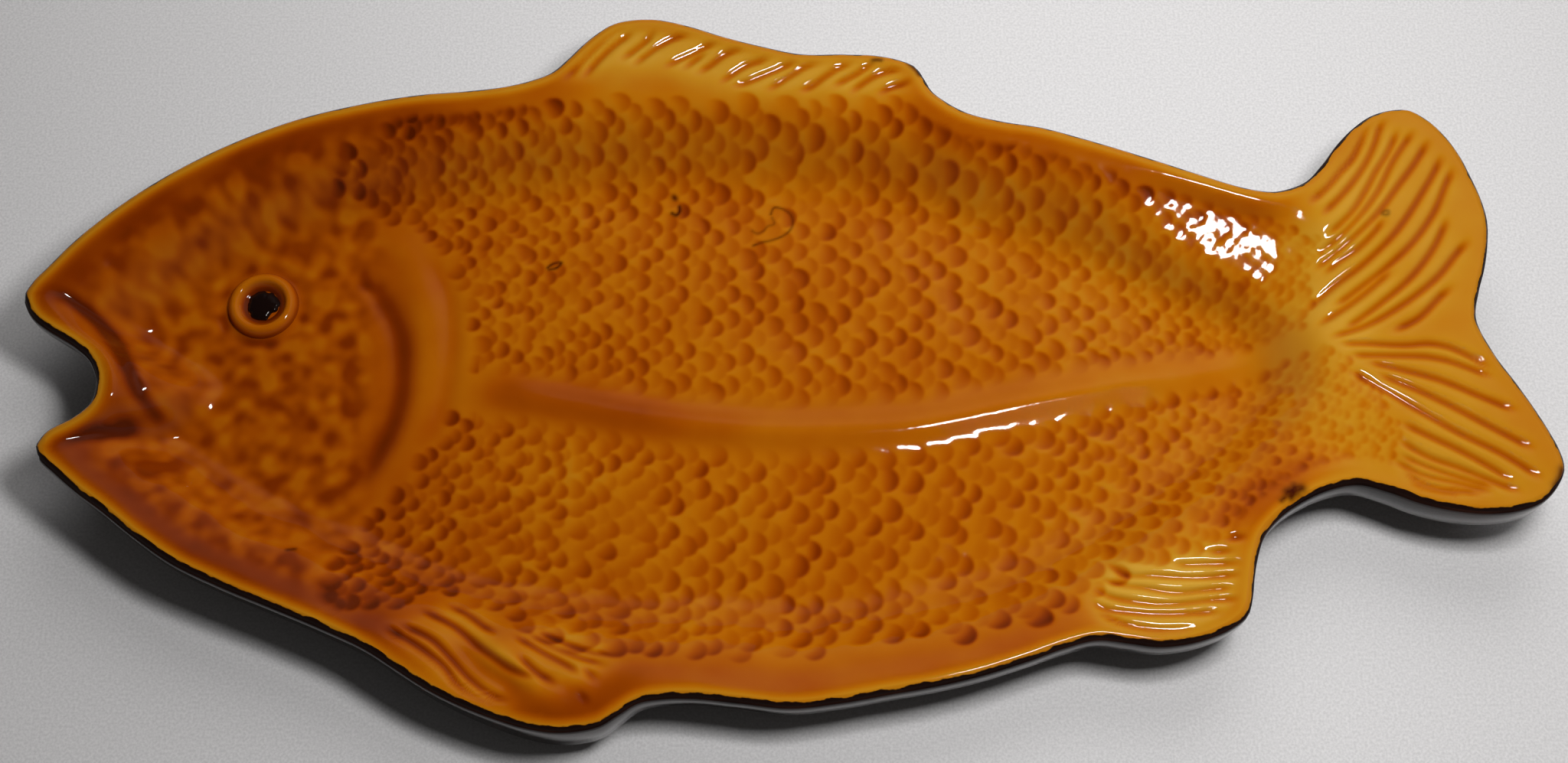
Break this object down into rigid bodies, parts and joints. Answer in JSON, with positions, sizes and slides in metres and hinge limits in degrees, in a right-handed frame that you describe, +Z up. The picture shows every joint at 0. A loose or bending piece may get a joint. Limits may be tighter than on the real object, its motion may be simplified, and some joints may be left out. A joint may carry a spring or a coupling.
{
  "type": "fish shaped platter",
  "caption": "Shallow serving platter in the shape of a fish, with a scaled well, finned rim, raised eye and oval foot ring, glazed amber above and dark below.",
  "frame": {"origin": "on the table, under the middle of the platter's length and width", "axes": "+X from the snout to the tail, +Y towards the dorsal fin, +Z up out of the well"},
  "size_m": [0.518, 0.263, 0.036],
  "materials": {
    "clay": "bare fired earthenware, matte",
    "amber_glaze": "glossy honey-amber glaze, darker where it pools",
    "dark_glaze": "glossy brown-black glaze"
  },
  "bodies": {
    "root": {"clay_body": "clay", "foot_ring": "clay", "amber_glaze": "amber_glaze", "back_glaze": "dark_glaze", "foot_glaze": "dark_glaze", "eye_ring": "amber_glaze", "eye_pupil": "dark_glaze"}
  },
  "joints": []
}
